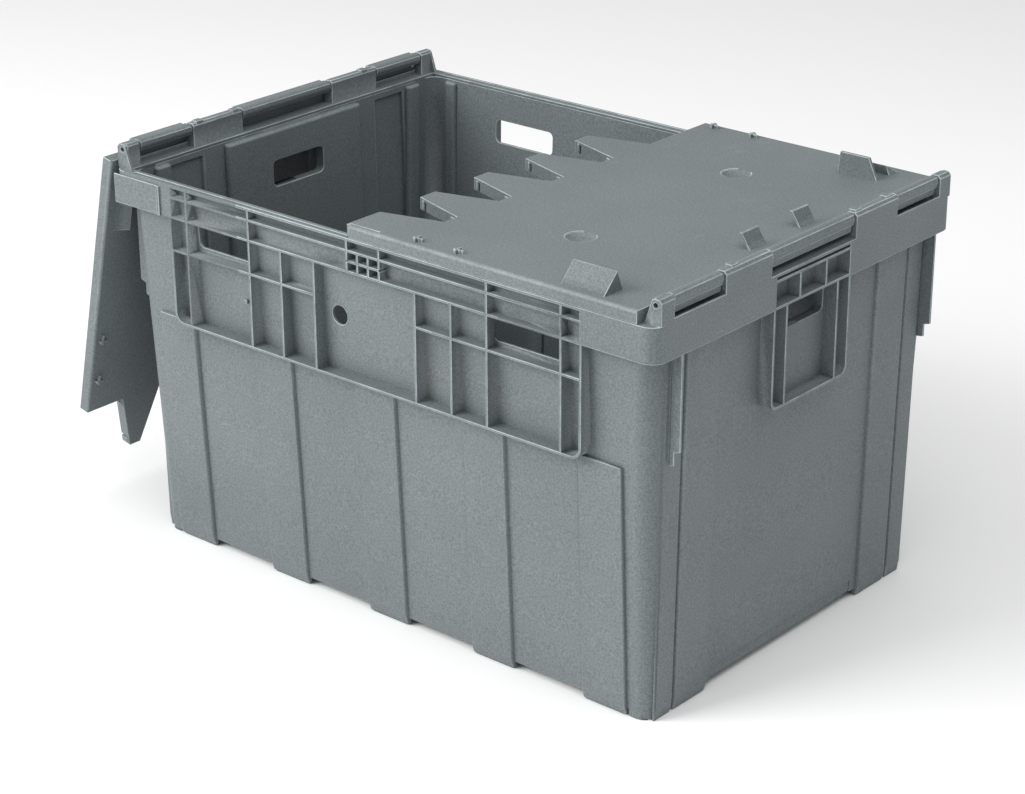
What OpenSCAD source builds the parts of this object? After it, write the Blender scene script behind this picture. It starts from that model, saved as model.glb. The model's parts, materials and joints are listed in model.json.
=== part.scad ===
// Attached lid tote: one deep drafted tub and two lids that hinge on steel rods at its ends.
// Units are millimetres. +X runs along the tub to the right-hand lid's hinge, -Y is the long
// side with the label plate, +Z is up and z = 0 is the plane of the feet.
// The right lid is closed and the left lid hangs open, outside its end of the tub.

/* [Tub] */
// Length over the rim
rim_length = 700; // [690:1:720]
// Width over the rim
rim_width = 480; // [470:1:490]
// Height of the rim's top face above the feet
rim_z = 408; // [404:1:414]
// Thickness of the moulded walls
wall_t = 3; // [2.5:0.1:3.2]
// Set-back of the end walls from the rim at the feet
end_draft = 21; // [19:0.5:22]
// Set-back of the side walls from the rim at the feet
side_draft = 27; // [24:0.5:29]
// Height of the feet under the floor
foot_h = 8; // [6:0.5:10]

/* [Outer ribs] */
// Thickness of the thin ribs
rib_t = 2.5; // [2:0.1:3]
// Lower edge of the ribbed band on the long sides
band_z = 261; // [256:1:266]
// Lower edge of the skirt round the rim
skirt_z = 373; // [371:1:376]
// Half the length of the ribbed band
band_half = 266; // [264:1:268]
// How far the wall columns stand proud
column_proud = 4; // [3:0.5:5]

/* [Hinges] */
// Distance from the hinge pin to the outside of the rim
pin_inset = 7; // [7:0.1:7.5]
// Height of the hinge pin above the rim
pin_rise = 19; // [19:0.1:19.5]
// Radius of the steel hinge rod
rod_r = 2.5; // [2.2:0.1:2.6]
// Opening angle of the hanging lid
hang_angle = 257.5; // [255:0.5:257.5]

/* [Lids] */
// Height of a lid from its skirt's edge to its top face
lid_h = 12.5; // [12:0.1:12.8]
// Thickness of the lid's top
lid_t = 3; // [2.5:0.1:3.2]
// Gap between the two lids' teeth when both are closed
teeth_gap = 2; // [1.5:0.1:3]
// Height of the large stacking lug
lug_h = 22; // [18:1:22]

/* [Hidden] */
$fn = 48;

grey = [0.47, 0.51, 0.51];
steel = [0.72, 0.73, 0.74];

half_l = rim_length / 2;
half_w = rim_width / 2;
end_top_inset = 14;
side_top_inset = 9;
tub_corner_r = 16;
rim_t = 3;
rim_under = rim_z - rim_t;
floor_t = 3;
corner_cut_x = half_l - end_draft - tub_corner_r;
corner_cut_y = half_w - side_draft - tub_corner_r;

column_w = 52;
column_pitch = 139;
end_column_y = 153;
end_column_w = 50;
foot_bevel_h = 12;

hand_hole_x = 196;
hand_hole_w = 82;
hand_hole_z = [346, 372];
end_hole_half = 38;
end_hole_z = [341, 370];
hole_r = 6;
lock_hole_x = -44;
lock_hole_z = 320;
lock_hole_r = 10;

row_z = [395, 374, 339];
post_x_low = [66, 111, 155, 243];
post_x_high = [21, 155, 243];
grid_x = 7;
grid_z = 384.5;
band_corner_r = 12;

end_bay = 62;
end_row_z = 400.75;
bay_post = 21;
handle_z = 272;
handle_post = 40;
fin_y = [-200, 210];

pin_x = half_l - pin_inset;
pin_z = rim_z + pin_rise;
rod_bore_r = rod_r + 0.02;
knuckle_bore_r = rod_r + 0.08;
knuckle_r = 5.8;
rod_half = 231;
ear_spans = [[68, 138], [213, 229]];
knuckle_spans = [[140, 211]];
knuckle_mid = 66;
gusset_t = 3;

lid_top = rim_z + 0.5 + lid_h;
lid_edge_t = 2.5;
lid_hinge_x = pin_x - 8;
lid_corner_x = pin_x - 14;
lid_corner_y = 212;
root_x = 45;
tip_x = -22;
tooth_pitch = 79;
tooth_y = -213;
tooth_tip_w = 22;
tooth_slope = 18;
tooth_gap_w = 18;

// Outside of the drafted walls at height z.
function end_x(z) = half_l - end_draft + (end_draft - end_top_inset) * z / rim_z;
function side_y(z) = half_w - side_draft + (side_draft - side_top_inset) * z / rim_z;

module box(low, high) {
    translate(low) cube(high - low);
}

// Both ends, or both long sides, of something drawn at +X or +Y.
module both_x() {
    children();
    mirror([1, 0, 0]) children();
}

module both_y() {
    children();
    mirror([0, 1, 0]) children();
}

// A profile drawn as (x, z), extruded over a span of y.
module along_y(from, to) {
    translate([0, to, 0]) rotate([90, 0, 0]) linear_extrude(to - from) children();
}

// A profile drawn as (y, z), extruded over a span of x.
module along_x(from, to) {
    translate([from, 0, 0]) rotate([90, 0, 90]) linear_extrude(to - from) children();
}

module rounded_rect(half_x, half_y, r) {
    hull() for (x = [r - half_x, half_x - r], y = [r - half_y, half_y - r])
        translate([x, y]) circle(r);
}

// A rectangle with rounded corners between two corners, for the hand holes.
module rounded_window(low, high, r) {
    translate([(low[0] + high[0]) / 2, (low[1] + high[1]) / 2])
        union() {
            square([high[0] - low[0], high[1] - low[1] - 2 * r], center = true);
            square([high[0] - low[0] - 2 * r, high[1] - low[1]], center = true);
            for (x = [-1, 1], y = [-1, 1])
                translate([x * ((high[0] - low[0]) / 2 - r), y * ((high[1] - low[1]) / 2 - r)])
                    circle(r);
        }
}

// The drafted solid that the tub's walls are cut from.
module drafted_solid(inset) {
    base_x = end_x(0) - inset;
    base_y = side_y(0) - inset;
    top_x = end_x(rim_under) - inset;
    top_y = side_y(rim_under) - inset;
    linear_extrude(rim_under, scale = [top_x / base_x, top_y / base_y], slices = 1)
        rounded_rect(base_x, base_y, tub_corner_r - inset);
}

// A hollow column on a wall: surface is the wall's outside at heights 0 and top, drawn as
// (distance from the middle, height), with a bevelled foot.
module column_profile(at_foot, at_top, top, proud) {
    slope = (at_top - at_foot) / top;
    polygon([[at_foot - 1, 0], [at_foot + 1, 0],
        [at_foot + slope * foot_bevel_h + proud, foot_bevel_h],
        [at_top + proud, top], [at_top - 1, top]]);
}

module column_pocket(at_foot, at_top, top, proud) {
    slope = (at_top - at_foot) / top;
    low = foot_h + floor_t + 6;
    high = top - 4;
    polygon([[at_foot + slope * low - wall_t - 1, low],
        [at_foot + slope * low + proud - wall_t, low],
        [at_foot + slope * high + proud - wall_t, high],
        [at_foot + slope * high - wall_t - 1, high]]);
}

module side_columns(pocket) {
    top = band_z - rib_t / 2;
    trim = pocket ? 3 : 0;
    for (i = [-2:2])
        along_x(i * column_pitch - column_w / 2 + trim, i * column_pitch + column_w / 2 - trim)
            if (pocket) column_pocket(side_y(0), side_y(top), top, column_proud);
            else column_profile(side_y(0), side_y(top), top, column_proud);
}

module end_columns(pocket) {
    top = rim_under - 3;
    trim = pocket ? 3 : 0;
    both_y() along_y(end_column_y - end_column_w / 2 + trim, end_column_y + end_column_w / 2 - trim)
        if (pocket) column_pocket(end_x(0), end_x(top), top, column_proud);
        else column_profile(end_x(0), end_x(top), top, column_proud);
}

// Raised pads on the end walls beside the corners, a groove away from the end columns.
module corner_pads() {
    both_y() along_y(end_column_y + end_column_w / 2 + 4, 206)
        column_profile(end_x(0), end_x(rim_under), rim_under, column_proud - 1);
}

module side_hole_cutters() {
    for (x = [-hand_hole_x, hand_hole_x])
        along_y(half_w - side_draft - 20, half_w + 1)
            rounded_window([x - hand_hole_w / 2, hand_hole_z[0]],
                [x + hand_hole_w / 2, hand_hole_z[1]], hole_r);
}

module end_hole_cutter() {
    along_x(end_x(0) - 20, half_l + 1)
        rounded_window([-end_hole_half, end_hole_z[0]], [end_hole_half, end_hole_z[1]], hole_r);
}

// The whole drafted wall ring; the wall nodes are its straight cuts.
module tub_walls() {
    difference() {
        union() {
            drafted_solid(0);
            both_y() side_columns(false);
            both_x() end_columns(false);
            both_x() corner_pads();
        }
        drafted_solid(wall_t);
        both_y() side_columns(true);
        both_x() end_columns(true);
        both_y() side_hole_cutters();
        both_x() end_hole_cutter();
    }
}

// Keeps what is above foot_h between the feet of a long wall.
module side_wall_region() {
    edge = corner_cut_x;
    box([-edge, corner_cut_y - 20, foot_h], [edge, half_w + 1, rim_under]);
    for (i = [-2:2])
        box([i * column_pitch - column_w / 2, corner_cut_y - 20, 0],
            [i * column_pitch + column_w / 2, half_w + 1, foot_h + 1]);
    both_x() box([edge - 7, corner_cut_y - 20, 0], [edge, half_w + 1, foot_h + 1]);
}

module end_wall_region() {
    edge = corner_cut_y;
    box([corner_cut_x, -edge, foot_h], [half_l + 1, edge, rim_under]);
    both_y() box([corner_cut_x, end_column_y - end_column_w / 2, 0],
        [half_l + 1, edge, foot_h + 1]);
}

module front_wall() {
    color(grey) difference() {
        intersection() {
            tub_walls();
            mirror([0, 1, 0]) side_wall_region();
        }
        translate([lock_hole_x, -half_w, lock_hole_z]) rotate([-90, 0, 0])
            cylinder(r = lock_hole_r, h = 40);
    }
}

module back_wall() {
    color(grey) intersection() {
        tub_walls();
        side_wall_region();
    }
}

module right_end_wall() {
    color(grey) intersection() {
        tub_walls();
        end_wall_region();
    }
}

module left_end_wall() {
    mirror([1, 0, 0]) right_end_wall();
}

module corner_posts() {
    color(grey) intersection() {
        tub_walls();
        both_x() both_y() box([corner_cut_x, corner_cut_y, 0], [half_l + 1, half_w + 1, rim_under]);
    }
}

// Stepped fins under the skirt near each corner. The two ends are the same, half a turn apart.
module corner_fins() {
    color(grey) for (turn = [0, 180]) rotate([0, 0, turn]) difference() {
        for (y = fin_y) along_y(y - rib_t / 2, y + rib_t / 2)
            polygon([[end_x(260) - 1, skirt_z], [half_l, skirt_z], [half_l, 279],
                [half_l - 7, 277], [half_l - 7, 264], [end_x(260) - 1, 262]]);
        drafted_solid(0);
        corner_pads();
    }
}

// The floor, with the round gate pad under its middle that reaches the plane of the feet.
module floor_panel() {
    gate_pad_r = 40;
    color(grey) {
        intersection() {
            drafted_solid(wall_t);
            box([-half_l, -half_w, foot_h], [half_l, half_w, foot_h + floor_t]);
        }
        cylinder(r = gate_pad_r, h = foot_h);
    }
}

// Horizontal ribs of one ribbed band, drawn on the +Y side, with the rim rail on top.
module band_rows() {
    half = band_half + rib_t / 2;
    difference() {
        union() {
            for (z = [row_z[0], row_z[1]])
                box([-half, side_y(0), z - rib_t / 2], [half, half_w, z + rib_t / 2]);
            both_x() box([post_x_low[0] - rib_t / 2, side_y(0), row_z[2] - rib_t / 2],
                [half, half_w, row_z[2] + rib_t / 2]);
            along_y(side_y(0), half_w) difference() {
                band_outline(0);
                band_outline(rib_t);
                translate([-half_l, band_z + band_corner_r]) square([2 * half_l, 200]);
            }
            box([-post_x_high[0], side_y(0), grid_z - rib_t / 2],
                [post_x_high[0], half_w, grid_z + rib_t / 2]);
        }
        drafted_solid(0);
    }
    box([-pin_x + 10, side_y(rim_z) - wall_t, rim_under], [pin_x - 10, half_w, rim_z]);
}

module band_outline(inset) {
    half = band_half + rib_t / 2 - inset;
    low = band_z - rib_t / 2 + inset;
    r = band_corner_r - inset;
    union() {
        translate([-half, low + r]) square([2 * half, 200]);
        translate([-half + r, low]) square([2 * (half - r), r]);
        for (x = [-1, 1]) translate([x * (half - r), low + r]) circle(r);
    }
}

// Vertical ribs of one ribbed band, in lengths that fit between the rows.
module band_posts() {
    half = band_half + rib_t / 2;
    g = rib_t / 2;
    low_stops = [[band_z + g, row_z[2] - g], [row_z[2] + g, row_z[1] - g]];
    high_stops = [[row_z[1] + g, row_z[0] - g], [row_z[0] + g, rim_under]];
    difference() {
        union() {
            both_x() {
                for (x = post_x_low, s = low_stops) post(x, s);
                for (x = post_x_high, s = high_stops) post(x, s);
                for (s = high_stops) post(band_half, s);
                post(band_half, low_stops[1]);
                post(band_half, [band_z + band_corner_r, row_z[2] - g]);
                for (s = [[row_z[1] + g, grid_z - g], [grid_z + g, row_z[0] - g]]) post(grid_x, s);
            }
        }
        drafted_solid(0);
        box([-post_x_high[0] - g, 0, grid_z - g], [post_x_high[0] + g, half_w + 1, grid_z + g]);
    }
}

module post(x, span) {
    box([x - rib_t / 2, side_y(0), span[0]], [x + rib_t / 2, half_w, span[1]]);
}

module back_band_rows() { color(grey) band_rows(); }
module front_band_rows() { mirror([0, 1, 0]) back_band_rows(); }
module back_band_posts() { color(grey) band_posts(); }
module front_band_posts() { mirror([0, 1, 0]) back_band_posts(); }

// The skirt that hangs from the rim's edge.
module skirt_ring() {
    translate([0, 0, skirt_z]) linear_extrude(rim_under - skirt_z) difference() {
        rounded_rect(half_l, half_w, tub_corner_r);
        rounded_rect(half_l - rib_t, half_w - rib_t, tub_corner_r - rib_t);
    }
}

module back_skirt_wings() {
    color(grey) both_x()
        box([band_half + rib_t / 2, half_w - rib_t, skirt_z], [pin_x - 10, half_w, rim_under]);
}

module front_skirt_wings() { mirror([0, 1, 0]) back_skirt_wings(); }

module right_end_skirt() {
    color(grey) {
        difference() {
            intersection() {
                skirt_ring();
                box([pin_x - 10, -half_w, skirt_z], [half_l, half_w, rim_under]);
            }
            box([half_l - rib_t - 1, -end_bay, skirt_z - 1], [half_l + 1, end_bay, rim_under + 1]);
        }
        difference() {
            union() {
                for (z = [skirt_z + rib_t / 2, end_row_z])
                    box([end_x(0), -end_bay, z - rib_t / 2], [half_l, end_bay, z + rib_t / 2]);
                both_y() box([end_x(0), end_bay - rib_t, skirt_z], [half_l, end_bay, rim_under]);
                both_y() box([end_x(0), bay_post - rib_t / 2, skirt_z],
                    [half_l, bay_post + rib_t / 2, end_row_z]);
            }
            drafted_solid(0);
        }
    }
}

module left_end_skirt() { mirror([1, 0, 0]) right_end_skirt(); }

// The box of ribs round an end hand hole, under the skirt.
module handle_outline(inset) {
    r = 10 - inset;
    half = end_bay - inset;
    low = handle_z + inset;
    union() {
        translate([-half, low + r]) square([2 * half, skirt_z - low - r]);
        translate([-half + r, low]) square([2 * (half - r), r]);
        for (y = [-1, 1]) translate([y * (half - r), low + r]) circle(r);
    }
}

module right_handle_frame() {
    color(grey) difference() {
        union() {
            along_x(end_x(0), half_l) difference() {
                handle_outline(0);
                handle_outline(rib_t);
                translate([-end_bay + rib_t, skirt_z - 20]) square([2 * (end_bay - rib_t), 40]);
            }
            both_y() box([end_x(0), handle_post, handle_z + 1],
                [half_l, handle_post + rib_t, skirt_z]);
        }
        drafted_solid(0);
    }
}

module left_handle_frame() { mirror([1, 0, 0]) right_handle_frame(); }

module label_plate() {
    color(grey) box([-half_l + 3, -half_w - 2.5, skirt_z], [-half_l + 70, -half_w, rim_under - 1]);
}

// Rim rail across an end, with the bored ears that hold the hinge rod.
module right_hinge_rail() {
    color(grey) difference() {
        union() {
            translate([0, 0, rim_under]) linear_extrude(rim_t) intersection() {
                rounded_rect(half_l, half_w, tub_corner_r);
                translate([pin_x - 10, -half_w]) square([half_l - pin_x + 10, 2 * half_w]);
            }
            both_y() {
                for (s = ear_spans) along_y(s[0], s[1]) ear_profile();
                along_y(ear_spans[1][1], ear_spans[1][1] + gusset_t) gusset_profile();
                box([half_l - rib_t, ear_spans[0][1], rim_z], [half_l, ear_spans[1][0], rim_z + 4]);
            }
        }
        translate([pin_x, half_w, pin_z]) rotate([90, 0, 0]) cylinder(r = rod_bore_r, h = 2 * half_w);
    }
}

module left_hinge_rail() { mirror([1, 0, 0]) right_hinge_rail(); }

module ear_profile() {
    polygon([[pin_x - 5.5, rim_z], [half_l, rim_z], [half_l, pin_z + 3], [half_l - 3, pin_z + 6],
        [pin_x - 3, pin_z + 6], [pin_x - 5.5, pin_z + 3.5]]);
}

module gusset_profile() {
    polygon([[pin_x - 12, rim_z], [half_l, rim_z], [half_l, pin_z + 3], [half_l - 3, pin_z + 6],
        [pin_x - 1.5, pin_z + 6], [pin_x - 4, pin_z + 4.5]]);
}

module right_hinge_rod() {
    color(steel) translate([pin_x, rod_half, pin_z]) rotate([90, 0, 0])
        cylinder(r = rod_r, h = 2 * rod_half);
}

module left_hinge_rod() { mirror([1, 0, 0]) right_hinge_rod(); }

// Outline of the right lid, seen from above, with its five teeth.
module right_lid_outline() {
    polygon(concat(
        [[tip_x, -half_w]],
        [for (k = [0:4]) for (p = tooth_points(k)) p],
        [[root_x, half_w], [lid_corner_x, half_w], [lid_corner_x, lid_corner_y],
            [lid_hinge_x, lid_corner_y], [lid_hinge_x, -lid_corner_y],
            [lid_corner_x, -lid_corner_y], [lid_corner_x, -half_w]]));
}

// Tooth number k: its tip and the valley behind it; the first tooth starts at the lid's edge.
function tooth_points(k) =
    let (y = tooth_y + k * tooth_pitch)
    concat(k == 0 ? [] : [[tip_x, y]],
        [[tip_x, y + tooth_tip_w], [root_x, y + tooth_tip_w + tooth_slope]],
        k == 4 ? [] : [[root_x, y + tooth_tip_w + tooth_slope + tooth_gap_w]]);

// How far a slanted tooth edge of the left lid moves in y to keep teeth_gap from the right lid.
function mitre(slope) =
    let (run = root_x - tip_x, edge = sqrt(run * run + slope * slope))
    teeth_gap * (run / edge - slope / run * (1 - slope / edge));

// Corners of the left lid's tooth number k, with its root drawn back by the given amount.
function left_tooth(k, back = 0) =
    let (root = tip_x - teeth_gap - back, tip = root_x - teeth_gap,
        widen = back / (root_x - tip_x),
        far_slope = k == 4 ? 0 : tooth_pitch - tooth_tip_w - tooth_slope - tooth_gap_w,
        near_y = tooth_y + k * tooth_pitch + tooth_tip_w + mitre(tooth_slope),
        far_y = k == 4 ? half_w : tooth_y + (k + 1) * tooth_pitch - mitre(far_slope))
    [[root, near_y - widen * tooth_slope], [tip, near_y + tooth_slope],
        [tip, far_y - far_slope], [root, far_y + widen * far_slope]];

// Outline of the closed left lid, seen from above.
module left_lid_outline() {
    polygon(concat(
        [[tip_x - teeth_gap, -half_w]],
        [for (k = [0:4]) for (p = left_tooth(k)) p],
        [[-lid_corner_x, half_w], [-lid_corner_x, lid_corner_y],
            [-lid_hinge_x, lid_corner_y], [-lid_hinge_x, -lid_corner_y],
            [-lid_corner_x, -lid_corner_y], [-lid_corner_x, -half_w]]));
}

// A lid moulding: a thin top with a skirt all round.
module lid_tray() {
    translate([0, 0, lid_top - lid_h]) difference() {
        linear_extrude(lid_h) children();
        translate([0, 0, -1]) linear_extrude(lid_h - lid_t + 1) offset(delta = -lid_edge_t)
            children();
    }
}

module lid_dimples(x) {
    for (y = [-122, 122]) translate([x, y, lid_top - 1.2]) cylinder(r = 14, h = 5);
}

module right_lid_panel() {
    color(grey) difference() {
        intersection() {
            lid_tray() right_lid_outline();
            box([root_x, -half_w, 0], [half_l, half_w, lid_top + 1]);
        }
        lid_dimples(170);
    }
}

module right_lid_teeth() {
    color(grey) intersection() {
        lid_tray() right_lid_outline();
        box([tip_x - 1, -half_w, 0], [root_x, half_w, lid_top + 1]);
    }
}

// The rolled barrels that turn on the rod, with the arms that join them to the lid.
module right_lid_knuckles() {
    color(grey) difference() {
        union() {
            knuckle(-knuckle_mid, knuckle_mid);
            both_y() for (s = knuckle_spans) knuckle(s[0], s[1]);
        }
        translate([pin_x, half_w, pin_z]) rotate([90, 0, 0])
            cylinder(r = knuckle_bore_r, h = 2 * half_w);
    }
}

module knuckle(from, to) {
    translate([pin_x, to, pin_z]) rotate([90, 0, 0]) cylinder(r = knuckle_r, h = to - from);
    along_y(from, to) polygon([[lid_hinge_x, lid_top - 7], [lid_hinge_x, lid_top],
        [pin_x - 5, pin_z - 2], [pin_x, pin_z - 3], [pin_x + 3, pin_z - 5], [pin_x + 2, lid_top - 7]]);
}

// Stacking lugs, hinge-side tabs and small nubs on the lid's top.
module right_lid_lugs() {
    color(grey) {
        large_lug();
        small_lug();
        for (y = [-40, 40]) hinge_tab(y);
        for (x = [62, 112], y = [-230, 230]) nub(x, y);
    }
}

// An upright plate and a wedge outside it; the slot between them clears the corner fin when
// the lid hangs.
module large_lug() {
    low = pin_x - 98;
    high = pin_x - 52;
    top = lid_top + lug_h;
    difference() {
        intersection() {
            along_y(190, 228)
                polygon([[low, lid_top], [high, lid_top], [high - 10, top], [low + 2, top]]);
            along_x(low, high)
                polygon([[190, lid_top], [228, lid_top], [194, top], [190, top]]);
        }
        box([low - 1, 193.5, lid_top - 1], [high + 1, fin_y[1] + rib_t / 2 + 1.75, top + 1]);
    }
}

module small_lug() {
    along_x(pin_x - 107, pin_x - 57)
        polygon([[-232, lid_top], [-205, lid_top], [-213, lid_top + 19]]);
}

module hinge_tab(y) {
    foot = pin_x - 29;
    along_y(y - 13, y + 13) polygon([[foot, lid_top], [foot - 3, lid_top],
        [foot - 13, lid_top + 15], [foot - 10, lid_top + 15]]);
}

module nub(x, y) {
    box([x - 4, y - 1.25, lid_top], [x + 4, y + 1.25, lid_top + 4]);
    box([x - 1.25, y - 4, lid_top], [x + 1.25, y + 4, lid_top + 4]);
}

// Turns a closed left lid about its hinge rod to where it hangs.
module hanging() {
    translate([-pin_x, 0, pin_z]) rotate([0, -hang_angle, 0]) translate([pin_x, 0, -pin_z])
        children();
}

module left_lid_panel() {
    color(grey) hanging() difference() {
        intersection() {
            lid_tray() left_lid_outline();
            box([-half_l, -half_w, 0], [tip_x - teeth_gap, half_w, lid_top + 1]);
        }
        lid_dimples(-170);
    }
}

module left_lid_teeth() {
    color(grey) hanging() translate([0, 0, lid_top - lid_h]) for (k = [0:4]) difference() {
        linear_extrude(lid_h) polygon(left_tooth(k));
        translate([0, 0, -1]) linear_extrude(lid_h - lid_t + 1) offset(delta = -lid_edge_t)
            polygon(left_tooth(k, 10));
    }
}

module left_lid_knuckles() { hanging() rotate([0, 0, 180]) right_lid_knuckles(); }
module left_lid_lugs() { hanging() rotate([0, 0, 180]) right_lid_lugs(); }

floor_panel();
front_wall();
back_wall();
left_end_wall();
right_end_wall();
corner_posts();
corner_fins();
front_band_rows();
front_band_posts();
back_band_rows();
back_band_posts();
front_skirt_wings();
back_skirt_wings();
left_end_skirt();
right_end_skirt();
left_handle_frame();
right_handle_frame();
left_hinge_rail();
right_hinge_rail();
label_plate();
left_hinge_rod();
right_hinge_rod();
left_lid_panel();
left_lid_teeth();
left_lid_knuckles();
left_lid_lugs();
right_lid_panel();
right_lid_teeth();
right_lid_knuckles();
right_lid_lugs();
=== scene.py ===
"""Looks of the attached lid tote: one moulded tub, two moulded lids and two steel hinge rods.

Each moulding is the union of its CAD nodes with the small details that the CAD leaves out. Its
seams are welded and its edges rounded, so that it reads as one piece of plastic.
Sizes of the tote are in millimetres up to the point where a mesh is made, and in metres from
there on. The camera, the floor and the lights are in metres.
"""

import json
import math

import bmesh
import bpy
from mathutils import Matrix, Vector
from mathutils.bvhtree import BVHTree
from mathutils.geometry import delaunay_2d_cdt
from mathutils.kdtree import KDTree


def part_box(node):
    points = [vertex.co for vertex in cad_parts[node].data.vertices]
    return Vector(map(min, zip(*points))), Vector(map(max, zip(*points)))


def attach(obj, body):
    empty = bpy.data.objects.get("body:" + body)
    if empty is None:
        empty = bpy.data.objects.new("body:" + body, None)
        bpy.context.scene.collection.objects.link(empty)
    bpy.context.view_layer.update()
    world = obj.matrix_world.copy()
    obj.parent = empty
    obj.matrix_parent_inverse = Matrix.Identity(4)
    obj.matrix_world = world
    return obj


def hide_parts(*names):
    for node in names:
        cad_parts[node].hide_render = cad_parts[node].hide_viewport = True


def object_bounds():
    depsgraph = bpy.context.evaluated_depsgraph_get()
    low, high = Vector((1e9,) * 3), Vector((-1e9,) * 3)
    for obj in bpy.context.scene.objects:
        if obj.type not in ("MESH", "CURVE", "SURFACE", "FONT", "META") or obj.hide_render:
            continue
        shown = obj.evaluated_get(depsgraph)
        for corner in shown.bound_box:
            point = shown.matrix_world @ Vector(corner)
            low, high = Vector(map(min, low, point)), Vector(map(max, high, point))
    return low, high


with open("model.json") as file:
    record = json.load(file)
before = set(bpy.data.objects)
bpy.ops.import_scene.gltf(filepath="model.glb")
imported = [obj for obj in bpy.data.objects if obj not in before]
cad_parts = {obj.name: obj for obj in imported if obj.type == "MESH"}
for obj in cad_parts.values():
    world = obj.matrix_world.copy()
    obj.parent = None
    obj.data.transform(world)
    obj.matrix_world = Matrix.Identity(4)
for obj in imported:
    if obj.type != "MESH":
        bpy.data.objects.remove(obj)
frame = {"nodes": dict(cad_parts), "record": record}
cad_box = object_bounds()
nodes = frame["nodes"]
MM = 0.001

# ---------------------------------------------------------------- places, from the CAD nodes
half_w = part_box("back_band_rows")[1][1] / MM
rim_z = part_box("back_band_rows")[1][2] / MM
rod_low, rod_high = (Vector(c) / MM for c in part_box("right_hinge_rod"))
pin_x = (rod_low.x + rod_high.x) / 2
pin_z = (rod_low.z + rod_high.z) / 2
lid_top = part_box("right_lid_panel")[1][2] / MM
hang_angle = 257.5  # from closed to hanging, in degrees
HALF_TURN = Matrix.Rotation(math.pi, 4, "Z")  # takes either end of the tote to the other

# ---------------------------------------------------------------- solids
SEAM = 0.03  # how far each solid grows so that touching ones overlap
SAME = 0.01  # vertices closer than this are one
THIN = 3  # limit on the extra growth of a thin corner
NARROW = 0.7  # rounding of ribs and skirts
WIDE = 3.0  # rounding of columns, feet and lid shoulders


def temporary(mesh):
    """A working object, which combine uses up."""
    piece = bpy.data.objects.new("working", mesh)
    bpy.context.scene.collection.objects.link(piece)
    return piece


def from_node(name):
    """A welded copy of a CAD node, grown by SEAM."""
    mesh = nodes[name].data.copy()
    shape = bmesh.new()
    shape.from_mesh(mesh)
    bmesh.ops.remove_doubles(shape, verts=shape.verts, dist=SAME * MM)
    shape.normal_update()
    moves = [(v, v.normal * (SEAM * MM * min(v.calc_shell_factor(), THIN))) for v in shape.verts]
    for vert, move in moves:
        vert.co += move
    shape.to_mesh(mesh)
    shape.free()
    return temporary(mesh)


def skin(name, rings, smooth=False):
    """The closed mesh through rings of points, from one flat end to the other."""
    shape = bmesh.new()
    rings = [[shape.verts.new(Vector(point) * MM) for point in ring] for ring in rings]
    shape.faces.new(rings[0][::-1])
    shape.faces.new(rings[-1])
    count = len(rings[0])
    for low, high in zip(rings, rings[1:]):
        for i in range(count):
            j = (i + 1) % count
            shape.faces.new((low[i], low[j], high[j], high[i])).smooth = smooth
    bmesh.ops.recalc_face_normals(shape, faces=shape.faces)
    mesh = bpy.data.meshes.new(name)
    shape.to_mesh(mesh)
    shape.free()
    return mesh


def prism(outline, place, start, end):
    """A solid with a flat outline; place(u, v, w) turns outline and depth into a point."""
    area = sum(a[0] * b[1] - b[0] * a[1] for a, b in zip(outline, outline[1:] + outline[:1]))
    if area < 0:
        outline = outline[::-1]
    return temporary(skin("solid", [[place(u, v, w) for u, v in outline] for w in (start, end)]))


def along_x(outline, start, end):
    return prism(outline, lambda u, v, w: (w, u, v), start, end)


def along_y(outline, start, end):
    return prism(outline, lambda u, v, w: (u, w, v), start, end)


def along_z(outline, start, end):
    return prism(outline, lambda u, v, w: (u, v, w), start, end)


def block(low, high):
    return along_z([(low[0], low[1]), (high[0], low[1]), (high[0], high[1]), (low[0], high[1])],
                   low[2], high[2])


def circle(x, y, r, count=32):
    return [(x + r * math.cos(2 * math.pi * i / count), y + r * math.sin(2 * math.pi * i / count))
            for i in range(count)]


def cone(x, y, z_low, z_high, r_low, r_high, count=40):
    """An upright cone with both ends flat."""
    return temporary(skin("cone", [[(u, v, z) for u, v in circle(x, y, r, count)]
                                   for z, r in ((z_low, r_low), (z_high, r_high))]))


def rounded_rect(low, high, r, count=6):
    """Outline of a rectangle with rounded corners."""
    outline = []
    for turn, (x, y) in enumerate(((high[0] - r, high[1] - r), (low[0] + r, high[1] - r),
                                   (low[0] + r, low[1] + r), (high[0] - r, low[1] + r))):
        for i in range(count + 1):
            angle = math.pi / 2 * (turn + i / count)
            outline.append((x + r * math.cos(angle), y + r * math.sin(angle)))
    return outline


def moved(pieces, matrix):
    """The pieces themselves, with their meshes put through a matrix."""
    for piece in pieces:
        piece.data.transform(matrix)
        if matrix.determinant() < 0:
            piece.data.flip_normals()
    return pieces


def combine(added, cut):
    """The mesh of added's union, less cut. The working objects are used up."""
    base = added[0]
    groups = []
    for operation, pieces in (("UNION", added[1:]), ("DIFFERENCE", cut)):
        operands = bpy.data.collections.new("operands")
        bpy.context.scene.collection.children.link(operands)
        groups.append(operands)
        for piece in pieces:
            operands.objects.link(piece)
        step = base.modifiers.new(operation, "BOOLEAN")
        step.operation = operation
        step.solver = "MANIFOLD"
        step.operand_type = "COLLECTION"
        step.collection = operands
    mesh = evaluated(base)
    for piece in added + cut:
        bpy.data.objects.remove(piece)
    for operands in groups:
        bpy.data.collections.remove(operands)
    return mesh


def evaluated(piece):
    """The mesh that a piece's modifiers make."""
    graph = bpy.context.evaluated_depsgraph_get()
    return bpy.data.meshes.new_from_object(piece.evaluated_get(graph), depsgraph=graph)


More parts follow.
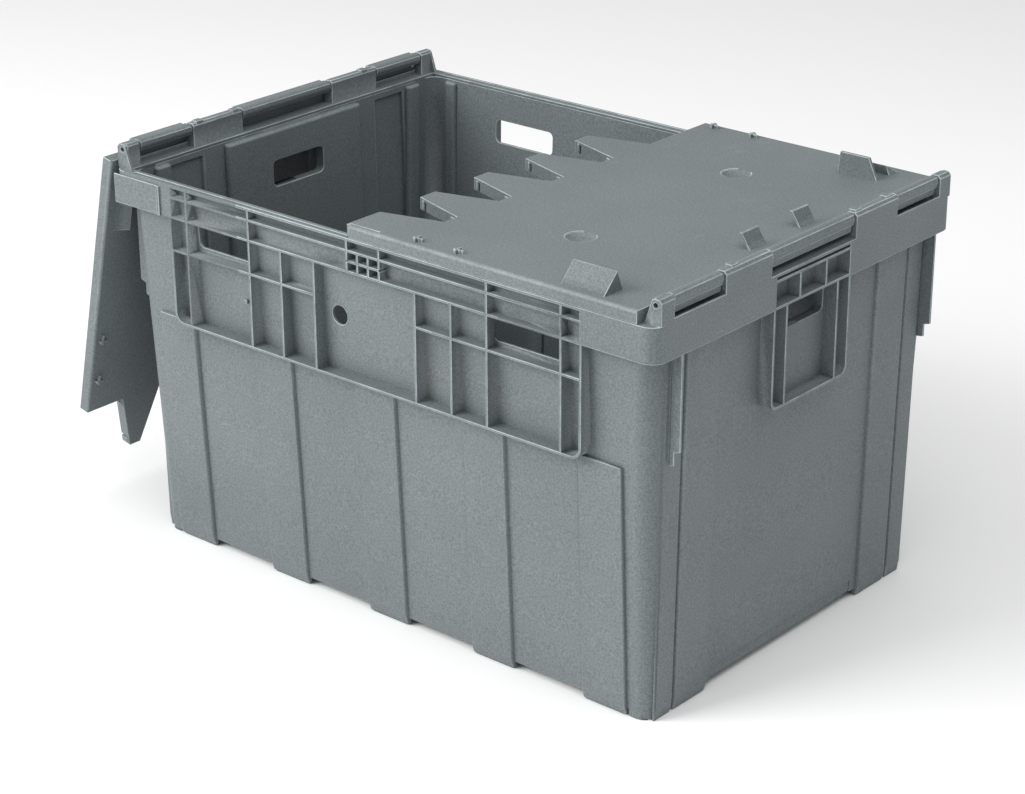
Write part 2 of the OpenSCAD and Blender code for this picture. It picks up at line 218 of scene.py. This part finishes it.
# Planes that cross each hole and rib cell, so that no flat face is left with a hole in it:
# their distances from the middle along each axis.
CELLS = {"X": (0, 14, 44, 88, 133, 170, 196, 254, 278), "Y": (0, 30, 51, 122, 153), "Z": (pin_z,)}
FLAT = math.radians(1.2)  # faces that turn by less than this are merged


def welded(mesh):
    """Closes the seams that the union leaves, and merges faces that lie in one plane."""
    shape = bmesh.new()
    shape.from_mesh(mesh)
    bmesh.ops.dissolve_degenerate(shape, edges=shape.edges, dist=5 * SEAM * MM)
    for axis, places in CELLS.items():
        normal = Vector((axis == "X", axis == "Y", axis == "Z"))
        for place in sorted({p for place in places for p in (place, -place)}):
            parts = bmesh.ops.bisect_plane(
                shape, geom=shape.verts[:] + shape.edges[:] + shape.faces[:],
                dist=SAME * MM, plane_co=normal * place * MM, plane_no=normal)
            for part in parts["geom_cut"]:
                if isinstance(part, bmesh.types.BMEdge):
                    part.seam = True
    bmesh.ops.dissolve_limit(shape, angle_limit=FLAT, verts=shape.verts, edges=shape.edges,
                             delimit={"SEAM"})
    return shape


def extent(verts):
    """Low and high corner of the box round some vertices, in millimetres."""
    return [Vector([f(v.co[i] for v in verts) for i in range(3)]) / MM for f in (min, max)]


SHARP = math.radians(28)  # edges that turn by more than this are rounded
OUTSIDE = 0.1  # how far a rounding may stand out of the unrounded surface
TOO_DEEP = 1.2 * WIDE  # and how far it may lie inside it
CROWDED = 3 * NARROW  # edges this near to a stray point stay sharp
ATTEMPTS = 8


def strays(point, surface):
    """True for a point outside the unrounded surface, or too deep inside it."""
    nearest, normal, _, distance = surface.find_nearest(point)
    return (point - nearest).dot(normal) > OUTSIDE * MM or distance > TOO_DEEP * MM


def bevelled(shape):
    """The mesh of shape, bevelled by its edges' weights. Bevel faces get material 1."""
    mesh = bpy.data.meshes.new("rounded")
    shape.to_mesh(mesh)
    mesh.materials.append(None)
    mesh.materials.append(None)
    rough = temporary(mesh)
    bevel = rough.modifiers.new("rounding", "BEVEL")
    bevel.width = WIDE * MM
    bevel.segments = 3
    bevel.limit_method = "WEIGHT"
    bevel.use_clamp_overlap = False
    bevel.material = 1
    result = evaluated(rough)
    bpy.data.objects.remove(rough)
    return result


def beside(mesh, astray):
    """A tree of the sound vertices that share a face with an astray one."""
    crowded = KDTree(len(mesh.loops))
    for face in mesh.polygons:
        if astray.intersection(face.vertices):
            for index in face.vertices:
                if index not in astray:
                    crowded.insert(mesh.vertices[index].co, index)
    crowded.balance()
    return crowded


def rounded(shape, wide):
    """The mesh of shape with its outer edges rounded, by WIDE where wide(edge) holds and by
    NARROW elsewhere. Where a rounding goes astray at a crowded corner, it stays sharp."""
    weights = shape.edges.layers.float.new("bevel_weight_edge")
    sharp = [e for e in shape.edges
             if e.is_manifold and e.is_convex and e.calc_face_angle() > SHARP]
    for edge in sharp:
        edge[weights] = 1.0 if wide(*extent(edge.verts)) else NARROW / WIDE
    surface = BVHTree.FromBMesh(shape)
    for _ in range(ATTEMPTS):
        result = bevelled(shape)
        astray = {v.index for v in result.vertices if strays(v.co, surface)}
        if not astray:
            break
        crowded = beside(result, astray)
        for edge in sharp:
            if min(crowded.find(v.co)[2] for v in edge.verts) < CROWDED * MM:
                edge[weights] = 0.0
    return result


OVERLAP = 0.5  # square millimetres that a face's triangles may cover beyond its own area
INNER = 1  # delaunay_2d_cdt's number for the triangles inside an outline


def refilled(mesh):
    """Fills anew the faces whose own triangles would overlap, as long notched ones can."""
    shape = bmesh.new()
    shape.from_mesh(mesh)
    shape.normal_update()
    covered = {}
    for corners in shape.calc_loop_triangles():
        a, b, c = (corner.vert.co for corner in corners)
        face = corners[0].face
        covered[face] = covered.get(face, 0.0) + (b - a).cross(c - a).length / 2
    for face, area in covered.items():
        if area < face.calc_area() + OVERLAP * MM * MM:
            continue
        flat = face.normal.to_track_quat("Z", "Y").inverted()
        corners = [flat @ v.co for v in face.verts]
        level = sum(c.z for c in corners) / len(corners)
        points, _, cells, sources, _, _ = delaunay_2d_cdt(
            [c.xy for c in corners], [], [list(range(len(corners)))], INNER, 1e-7)
        old = list(face.verts)
        verts = [old[source[0]] if source else
                 shape.verts.new(flat.inverted() @ Vector((*point, level)))
                 for point, source in zip(points, sources)]
        material = face.material_index
        shape.faces.remove(face)
        for cell in cells:
            ring = [verts[i] for i in cell]
            if not shape.faces.get(ring):
                fresh = shape.faces.new(ring)
                fresh.smooth = True
                fresh.material_index = material
    shape.to_mesh(mesh)
    shape.free()
    return mesh


CREASE = math.radians(48)  # edges that turn by more than this are shaded as sharp
WIDE_HIGHLIGHT = 0.25  # strength of the painted highlight on the wide roundings, next to 1 on the narrow ones


def moulding(name, body, added, cut, wide):
    """One moulded piece: the union, welded along its seams, with rounded edges. The rounded
    faces carry an attribute that sets how strongly a highlight is painted on them."""
    shape = welded(combine(added, cut))
    for face in shape.faces:
        face.smooth = True
        face.material_index = 0
    mesh = refilled(rounded(shape, wide))
    shape.free()
    # how strongly each face gets the painted highlight: none on flat faces, full on narrow roundings
    highlight = [0.0] * len(mesh.polygons)
    for face in mesh.polygons:
        if face.material_index == 1:
            low, high = extent([mesh.vertices[i] for i in face.vertices])
            highlight[face.index] = WIDE_HIGHLIGHT if wide(low, high) else 1.0
    mesh.attributes.new("edge", "FLOAT", "FACE").data.foreach_set("value", highlight)
    mesh.polygons.foreach_set("material_index", [0] * len(mesh.polygons))
    mesh.materials.clear()
    mesh.set_sharp_from_angle(angle=CREASE)
    piece = bpy.data.objects.new(name, mesh)
    bpy.context.scene.collection.objects.link(piece)
    normals = piece.modifiers.new("flat_faces", "WEIGHTED_NORMAL")
    normals.weight = 100
    normals.keep_sharp = True
    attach(piece, body)
    return piece


def keep_inside(piece):
    """Takes off what the seams' growth puts outside the CAD box."""
    low, high = cad_box
    for vert in piece.data.vertices:
        vert.co = [min(max(c, a), b) for c, a, b in zip(vert.co, low, high)]


# ---------------------------------------------------------------- materials
# Each helper adds one node to a material's tree and gives its output. Textures are in metres.
def new_material(name):
    material = bpy.data.materials.new(name)
    material.use_nodes = True
    tree = material.node_tree
    return material, tree, tree.nodes["Principled BSDF"]


def noise(tree, coords, scale, detail=2.0, roughness=0.5):
    node = tree.nodes.new("ShaderNodeTexNoise")
    node.inputs["Scale"].default_value = scale
    node.inputs["Detail"].default_value = detail
    node.inputs["Roughness"].default_value = roughness
    tree.links.new(coords, node.inputs["Vector"])
    return node.outputs["Fac"]


def ramp(tree, factor, stops):
    node = tree.nodes.new("ShaderNodeValToRGB")
    node.color_ramp.elements[0].position, node.color_ramp.elements[0].color = stops[0]
    node.color_ramp.elements[1].position, node.color_ramp.elements[1].color = stops[-1]
    for position, color in stops[1:-1]:
        node.color_ramp.elements.new(position).color = color
    tree.links.new(factor, node.inputs["Fac"])
    return node.outputs["Color"]


def mix(tree, factor, a, b, blend="MIX"):
    node = tree.nodes.new("ShaderNodeMix")
    node.data_type = "RGBA"
    node.blend_type = blend
    for socket, value in (("Factor", factor), ("A", a), ("B", b)):
        target = next(s for s in node.inputs if s.name == socket and s.enabled)
        if isinstance(value, bpy.types.NodeSocket):
            tree.links.new(value, target)
        else:
            target.default_value = value
    return next(s for s in node.outputs if s.enabled)


def maths(tree, operation, a, b):
    node = tree.nodes.new("ShaderNodeMath")
    node.operation = operation
    for socket, value in zip(node.inputs, (a, b)):
        if isinstance(value, bpy.types.NodeSocket):
            tree.links.new(value, socket)
        else:
            socket.default_value = value
    return node.outputs[0]


def bump(tree, height, strength, distance, normal=None):
    node = tree.nodes.new("ShaderNodeBump")
    node.inputs["Strength"].default_value = strength
    node.inputs["Distance"].default_value = distance
    tree.links.new(height, node.inputs["Height"])
    if normal:
        tree.links.new(normal, node.inputs["Normal"])
    return node.outputs["Normal"]


def stretched(tree, coords, scale, rotation=(0, 0, 0)):
    node = tree.nodes.new("ShaderNodeMapping")
    node.inputs["Scale"].default_value = scale
    node.inputs["Rotation"].default_value = rotation
    tree.links.new(coords, node.inputs["Vector"])
    return node.outputs["Vector"]


def map_range(tree, value, to_low, to_high, low=0.0, high=1.0):
    node = tree.nodes.new("ShaderNodeMapRange")
    limits = (("From Min", low), ("From Max", high), ("To Min", to_low), ("To Max", to_high))
    for name, limit in limits:
        node.inputs[name].default_value = limit
    tree.links.new(value, node.inputs["Value"])
    return node.outputs["Result"]


EVEN = (1, 1, 1)
BLUISH = (0.865, 1.0, 1.03)  # the tint of the plastic


def grey(value, tint=BLUISH):
    return (value * tint[0], value * tint[1], value * tint[2], 1.0)


def scuffed(tree, coords, colour):
    """Faint pale streaks, in patches, over a colour."""
    slanted = stretched(tree, coords, (14.0, 14.0, 160.0), (0.35, 0.2, 0.5))
    streaks = noise(tree, slanted, 3.0, 4.0, 0.65)
    patches = noise(tree, coords, 9.0, 2.0, 0.5)
    scuffs = maths(tree, "MULTIPLY",
                   ramp(tree, streaks, [(0.60, grey(0)), (0.70, grey(1, EVEN))]),
                   ramp(tree, patches, [(0.50, grey(0)), (0.66, grey(1, EVEN))]))
    return mix(tree, maths(tree, "MULTIPLY", scuffs, 0.22), colour, grey(0.40))


def painted_edge_highlight(tree, coords, colour):
    """A pale highlight painted on the roundings over a colour, uneven, and weaker low on the tote."""
    edge = tree.nodes.new("ShaderNodeAttribute")
    edge.attribute_name = "edge"
    uneven = ramp(tree, noise(tree, coords, 45.0, 3.0, 0.6),
                  [(0.30, grey(0.25, EVEN)), (0.70, grey(0.75, EVEN))])
    height = tree.nodes.new("ShaderNodeSeparateXYZ")
    tree.links.new(coords, height.inputs["Vector"])
    highlight_by_height = map_range(tree, height.outputs["Z"], 0.3, 1.0, low=0.2, high=0.27)
    highlight = maths(tree, "MULTIPLY", edge.outputs["Fac"], uneven)
    # grey(0.58) is the colour of the painted highlight
    return mix(tree, maths(tree, "MULTIPLY", highlight, highlight_by_height), colour, grey(0.58))


def moulded_plastic():
    """Grey polypropylene: matt grain, faint flow clouds, scuffs and a pale highlight painted on the
    edges.
    """
    material, tree, shader = new_material("grey_polypropylene")
    coords = tree.nodes.new("ShaderNodeTexCoord").outputs["Object"]
    clouds = noise(tree, coords, 5.0, 3.0, 0.55)
    colour = ramp(tree, clouds, [(0.30, grey(0.155)), (0.70, grey(0.183))])
    speckle = noise(tree, coords, 520.0, 2.0, 0.7)
    grain = ramp(tree, speckle, [(0.30, grey(0.70, EVEN)), (0.70, grey(1.27, EVEN))])
    colour = mix(tree, 1.0, colour, grain, "MULTIPLY")
    # scuffs, then the highlight painted on the roundings
    colour = painted_edge_highlight(tree, coords, scuffed(tree, coords, colour))
    tree.links.new(colour, shader.inputs["Base Color"])
    rough = map_range(tree, noise(tree, coords, 30.0, 3.0, 0.6), 0.44, 0.60)
    tree.links.new(rough, shader.inputs["Roughness"])
    ripple = bump(tree, noise(tree, coords, 14.0, 1.0, 0.4), 0.35, 0.0012)
    tree.links.new(bump(tree, speckle, 0.35, 0.00025, ripple), shader.inputs["Normal"])
    shader.inputs["Specular IOR Level"].default_value = 0.42
    return material


def drawn_steel():
    """Plain drawn rod: fine lines along Y and a faint dull film."""
    material, tree, shader = new_material("drawn_steel")
    coords = tree.nodes.new("ShaderNodeTexCoord").outputs["Object"]
    lines = noise(tree, stretched(tree, coords, (900.0, 6.0, 900.0)), 1.0, 3.0, 0.6)
    film = noise(tree, coords, 40.0, 3.0, 0.6)
    colour = ramp(tree, film, [(0.35, (0.36, 0.36, 0.36, 1)), (0.65, (0.56, 0.57, 0.58, 1))])
    tree.links.new(colour, shader.inputs["Base Color"])
    tree.links.new(map_range(tree, lines, 0.22, 0.42), shader.inputs["Roughness"])
    tree.links.new(bump(tree, lines, 0.25, 0.0001), shader.inputs["Normal"])
    shader.inputs["Metallic"].default_value = 1.0
    return material


def dress(piece, material):
    """Gives a piece its only material."""
    piece.data.materials.append(material)


# ---------------------------------------------------------------- tub
END_FOOT, END_RIM = 329, 336  # outside of the end walls, at the feet and at the rim
SIDE_FOOT, SIDE_RIM = 213, 231  # outside of the long walls
WALL = 3
SWELL_LOW, SWELL_TOP = 14, 403
SUNK = 2.8  # how far a swell reaches into its wall
PANEL_HALF, PANEL_DEPTH = 101, 8  # the broad swell in the middle of each end
END_SWELL, END_DEPTH = (162, 182), 7  # the narrow ones beside it, in y
SIDE_SWELL, SIDE_DEPTH = (290, 306), 5  # and those on the long walls, in x
CLEATS = (-120, 76, 128)  # middles of the small blocks over each hinge rail
LEDGE, LEDGE_HALF, LEDGE_DEPTH = (4, 21), 119, 1.3  # the sunk strip low on each end
HAND_HOLE, HAND_HOLE_R = ((-38, 341), (38, 370)), 6  # of each end, in y and z
CHANNEL, CHANNEL_HALF, CHANNEL_DEPTH = (233.2, 237.2), 322, 1.5  # along the rim's long sides
LABEL_LOW, LABEL_HIGH = (-350, -243, 370), (-284, -241.7, 406)  # the label plate's sunk face
GATE_X, GATE_Z, GATE_R = -172, 303, 2.4  # a round mark on the front
SKIRT_X, SKIRT_Y = 341.5, 233  # the columns lie within these, the skirt outside them
UPRIGHT = 60  # edges taller than this belong to columns or swells


def end_wall(z):
    """Where the outside of an end wall is at a height."""
    return END_FOOT + (END_RIM - END_FOOT) * z / rim_z


def swell(low, high):
    """A soft-cornered swell on the inside of the walls in the +X +Y corner: outline corners
    low and high at the feet's height, sheared to follow the drafted walls."""
    r = min(high[0] - low[0], high[1] - low[1]) / 2 - 0.1
    piece = along_z(rounded_rect(low, high, r), SWELL_LOW, SWELL_TOP)
    draft = Matrix()
    draft[0][2] = (END_RIM - END_FOOT) / rim_z
    draft[1][2] = (SIDE_RIM - SIDE_FOOT) / rim_z if low[1] > 0 else 0
    return moved([piece], draft)[0]


def end_details(end):
    """Details of the +X end, taken to either end by a matrix: (added solids, cut solids)."""
    inner_x, inner_y = END_FOOT - WALL, SIDE_FOOT - WALL
    added = [swell((inner_x - PANEL_DEPTH, -PANEL_HALF), (inner_x + SUNK, PANEL_HALF))]
    added += [block((pin_x - 5, y - 5, rim_z + 8), (pin_x + 3, y + 5, pin_z + 7.6)) for y in CLEATS]
    ledge = [(end_wall(LEDGE[0] + 4) - LEDGE_DEPTH, LEDGE[0]), (end_wall(LEDGE[0] + 4) + 4, LEDGE[0]),
             (end_wall(LEDGE[1]) + 4, LEDGE[1]), (end_wall(LEDGE[1]) - LEDGE_DEPTH, LEDGE[1])]
    cut = [along_y(ledge, -LEDGE_HALF, LEDGE_HALF),
           along_x(rounded_rect(*HAND_HOLE, HAND_HOLE_R), 300, 345)]
    moved(added + cut, end)
    for mirror in (1, -1):
        corner = end @ Matrix.Diagonal((1, mirror, 1, 1))
        added += moved([swell((inner_x - END_DEPTH, END_SWELL[0]), (inner_x + SUNK, END_SWELL[1])),
                        swell((SIDE_SWELL[0], inner_y - SIDE_DEPTH), (SIDE_SWELL[1], inner_y + SUNK))],
                       corner)
    return added, cut


def tub_details():
    """Details the CAD leaves out: (added solids, cut solids)."""
    added, cut = end_details(Matrix())
    more, less = end_details(HALF_TURN)
    added += more
    cut += less
    for side in (-1, 1):
        low, high = sorted(side * y for y in CHANNEL)
        cut.append(block((-CHANNEL_HALF, low, rim_z - CHANNEL_DEPTH), (CHANNEL_HALF, high, rim_z + 2)))
    cut.append(block(LABEL_LOW, LABEL_HIGH))
    added.append(along_y(circle(GATE_X, GATE_Z, GATE_R, 20), -231, -227.4))
    return added, cut


def wide_on_tub(low, high):
    """Column edges, the swells inside and the undersides of the feet."""
    inside = (max(abs(low.y), abs(high.y)) < SKIRT_Y
              and max(abs(low.x), abs(high.x)) < SKIRT_X)
    upright = high.z - low.z > UPRIGHT
    crown = low.z > SWELL_TOP - WIDE - 0.2 and high.z < SWELL_TOP + 0.5
    return inside and (upright or crown) or high.z < WIDE + 0.1


def make_tub(plastic):
    names = [n for n in frame["record"]["behaviour"]["bodies"]["tub"] if not n.endswith("_rod")]
    added, cut = tub_details()
    tub = moulding("tub", "tub", [from_node(n) for n in names] + added, cut, wide_on_tub)
    keep_inside(tub)
    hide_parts(*names)
    dress(tub, plastic)


ROD_R, ROD_HALF, EASE = 2.5, 226, 0.8


def make_rod(node, steel):
    """The rod with eased ends, sunk a little into the outer ears."""
    x = pin_x if node.startswith("right") else -pin_x
    ends = ((-ROD_HALF, ROD_R - EASE), (-ROD_HALF + EASE, ROD_R),
            (ROD_HALF - EASE, ROD_R), (ROD_HALF, ROD_R - EASE))
    mesh = skin(node, [[(u, y, w) for u, w in circle(x, pin_z, r, 36)] for y, r in ends], smooth=True)
    mesh.set_sharp_from_angle(angle=math.radians(30))
    rod = bpy.data.objects.new("steel_" + node, mesh)
    bpy.context.scene.collection.objects.link(rod)
    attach(rod, "tub")
    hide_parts(node)
    dress(rod, steel)


# ---------------------------------------------------------------- lids
# What takes the left lid from closed to where it hangs.
HUNG = (Matrix.Translation(Vector((-pin_x, 0, pin_z)) * MM)
        @ Matrix.Rotation(math.radians(-hang_angle), 4, "Y")
        @ Matrix.Translation(Vector((pin_x, 0, -pin_z)) * MM))
LID_UNDER = lid_top - 12.5
KNUCKLES = ((-66, 66), (140, 211), (-211, -140))  # of the right lid, in y
BAR_HALF, BAR_UNDER = 4.8, 5.6  # the squared knuckles, from the pin sideways and up, and down
BORE_R = 2.6
DISH_X, DISH_Y = 170, 122
NUBS_X, NUB_Y = (62, 112), 229
TOOTH_PITCH = 79
FIRST_TIP = -213  # y of the right lid's first tip
ROOT_X, TIP_X = 45, -22  # of the right lid's teeth
RISE = 21  # from a root of the right lid to its tip, in y
LEFT_ROOT, LEFT_TIP = 23.5, 41.5  # the left lid's roots and tips, from the right lid's tips, in y
GAP = 2  # between the roots of one lid and the tips of the other


def lid_details():
    """What both lids share, drawn on the closed right one: (added solids, cut solids)."""
    added = [block((pin_x - BAR_HALF, low, pin_z - BAR_UNDER),
                   (pin_x + BAR_HALF, high, pin_z + BAR_HALF)) for low, high in KNUCKLES]
    cut = [along_y(circle(pin_x, pin_z, BORE_R, 40), -241, 241)]
    for side in (-1, 1):
        added.append(cone(DISH_X, side * DISH_Y, lid_top - 8, lid_top - 1.2, 14, 18.5))
        cut.append(cone(DISH_X, side * DISH_Y, lid_top - 5.5, lid_top + 1, 8.5, 16.5))
        y = side * NUB_Y
        for x in NUBS_X:
            added += [block((x - 1.2, y - 4.5, lid_top - 1), (x + 1.2, y + 4.5, lid_top + 4.5)),
                      block((x, y - 1.2, lid_top - 1), (x + 7, y + 1.2, lid_top + 3.5))]
    return added, cut


def tooth_details(root, tip):
    """The notch near a tooth's tip and the hooked slot at its root, on the edge facing -Y."""
    along = (Vector(root) - Vector(tip)).normalized()
    out = Vector((along.y, -along.x))
    length = (Vector(root) - Vector(tip)).length

    def place(u, v, w):
        return tip[0] + along.x * u + out.x * v, tip[1] + along.y * u + out.y * v, w

    def piece(start, end, depth, height, low, high):
        """A block from start to end along the edge, with depth into the tooth and height out."""
        return prism([(start, -depth), (end, -depth), (end, height), (start, height)],
                     place, low, high)

    added = [piece(5.5, 8, 1, 1.0, lid_top - 10, lid_top - 2),
             piece(length - 11, length - 3, 1, 1.1, lid_top - 9.5, lid_top - 2.5)]
    cut = [piece(8.6, 11.6, 4, 3, LID_UNDER - 2, lid_top - 3.2),
           piece(length - 9, length - 5, 4, 3, lid_top - 7.5, lid_top - 4.5)]
    return added, cut


def first_tooth_cuts():
    """A groove along the right lid's outermost tooth and a notch beside its tip."""
    return [block((TIP_X - 1, -234.5, lid_top - 0.8), (18, -233.3, lid_top + 1)),
            block((TIP_X - 1, -241, LID_UNDER - 1), (TIP_X + 5, -236.5, lid_top + 1))]


def tooth_edges(side):
    """(root, tip) of every tooth edge that faces -Y on the closed lid."""
    tips = [FIRST_TIP + TOOTH_PITCH * k for k in range(5)]
    if side == "right_lid":
        return [((ROOT_X, y - RISE), (TIP_X, y)) for y in tips[1:]]
    return [((TIP_X - GAP, y + LEFT_ROOT), (ROOT_X - GAP, y + LEFT_TIP)) for y in tips]


def wide_on_lid(low, high):
    """The shoulders along the lid's outer sides."""
    top = low.z > lid_top - WIDE - 0.1 and high.z < lid_top + 0.5
    return top and min(abs(low.y), abs(high.y)) > half_w - WIDE - 0.1


def make_lid(side, plastic):
    names = frame["record"]["behaviour"]["bodies"][side]
    left = side == "left_lid"
    opened = HUNG if left else Matrix()
    added, cut = lid_details()
    if left:
        moved(added + cut, HALF_TURN)
    for root, tip in tooth_edges(side):
        more, less = tooth_details(root, tip)
        added += more
        cut += less
    if not left:
        cut += first_tooth_cuts()
    solids = moved([from_node(n) for n in names], opened.inverted())
    lid = moulding(side, side, solids + added, cut, wide_on_lid)
    lid.data.transform(opened)
    keep_inside(lid)
    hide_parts(*names)
    dress(lid, plastic)


# ---------------------------------------------------------------- stage
CAMERA = (1.6419, -1.9287, 1.2504)
AZIMUTH, ELEVATION, ROLL = (math.radians(a) for a in (40.75, 23.06, -0.26))
LENS, SENSOR = 93.11, 36  # millimetres of the lens and the picture behind it


def add_camera():
    """The photograph's viewpoint: from the front right, a little above the lid."""
    back = Vector((math.sin(AZIMUTH) * math.cos(ELEVATION),
                   -math.cos(AZIMUTH) * math.cos(ELEVATION), math.sin(ELEVATION)))
    right = Vector((math.cos(AZIMUTH), math.sin(AZIMUTH), 0))
    up = right.cross(-back)
    right, up = (right * math.cos(ROLL) + up * math.sin(ROLL),
                 up * math.cos(ROLL) - right * math.sin(ROLL))
    data = bpy.data.cameras.new("camera")
    data.sensor_width = SENSOR
    data.lens = LENS
    camera = bpy.data.objects.new("camera", data)
    turned = Matrix((right, up, back)).transposed().to_4x4()
    camera.matrix_world = Matrix.Translation(CAMERA) @ turned
    bpy.context.scene.collection.objects.link(camera)
    bpy.context.scene.camera = camera


def add_floor():
    """A plain pale floor that fills the picture."""
    half = 12.0
    corners = [(-half, -half, 0), (half, -half, 0), (half, half, 0), (-half, half, 0)]
    mesh = bpy.data.meshes.new("floor")
    mesh.from_pydata(corners, [], [(0, 1, 2, 3)])
    floor = bpy.data.objects.new("floor", mesh)
    bpy.context.scene.collection.objects.link(floor)
    material, _, shader = new_material("studio_floor")
    shader.inputs["Base Color"].default_value = (0.93, 0.93, 0.93, 1)
    shader.inputs["Roughness"].default_value = 0.9
    shader.inputs["Specular IOR Level"].default_value = 0.1
    floor.data.materials.append(material)


def add_light(name, place, target, size, power):
    """A rectangular soft light; size in metres, power in watts."""
    data = bpy.data.lights.new(name, "AREA")
    data.shape = "RECTANGLE"
    data.size, data.size_y = size
    data.energy = power
    light = bpy.data.objects.new(name, data)
    light.location = place
    light.rotation_euler = (Vector(target) - Vector(place)).to_track_quat("-Z", "Y").to_euler()
    bpy.context.scene.collection.objects.link(light)


def add_lights():
    """A key light from the front left, a weak one overhead, and an even grey all round."""
    add_light("key", place=(-2.0, -3.2, 2.6), target=(0, 0, 0.2), size=(3.0, 2.2), power=180)
    add_light("top", place=(0.9, -0.3, 3.2), target=(-0.2, 0, 0.3), size=(3.4, 2.8), power=54)
    world = bpy.data.worlds.new("studio")
    world.use_nodes = True
    world.node_tree.nodes["Background"].inputs["Color"].default_value = (0.5, 0.5, 0.5, 1)
    bpy.context.scene.world = world
    bpy.context.scene.view_settings.view_transform = "Standard"


add_camera()
add_floor()
add_lights()
plastic = moulded_plastic()
steel = drawn_steel()
make_tub(plastic)
make_lid("left_lid", plastic)
make_lid("right_lid", plastic)
make_rod("left_hinge_rod", steel)
make_rod("right_hinge_rod", steel)
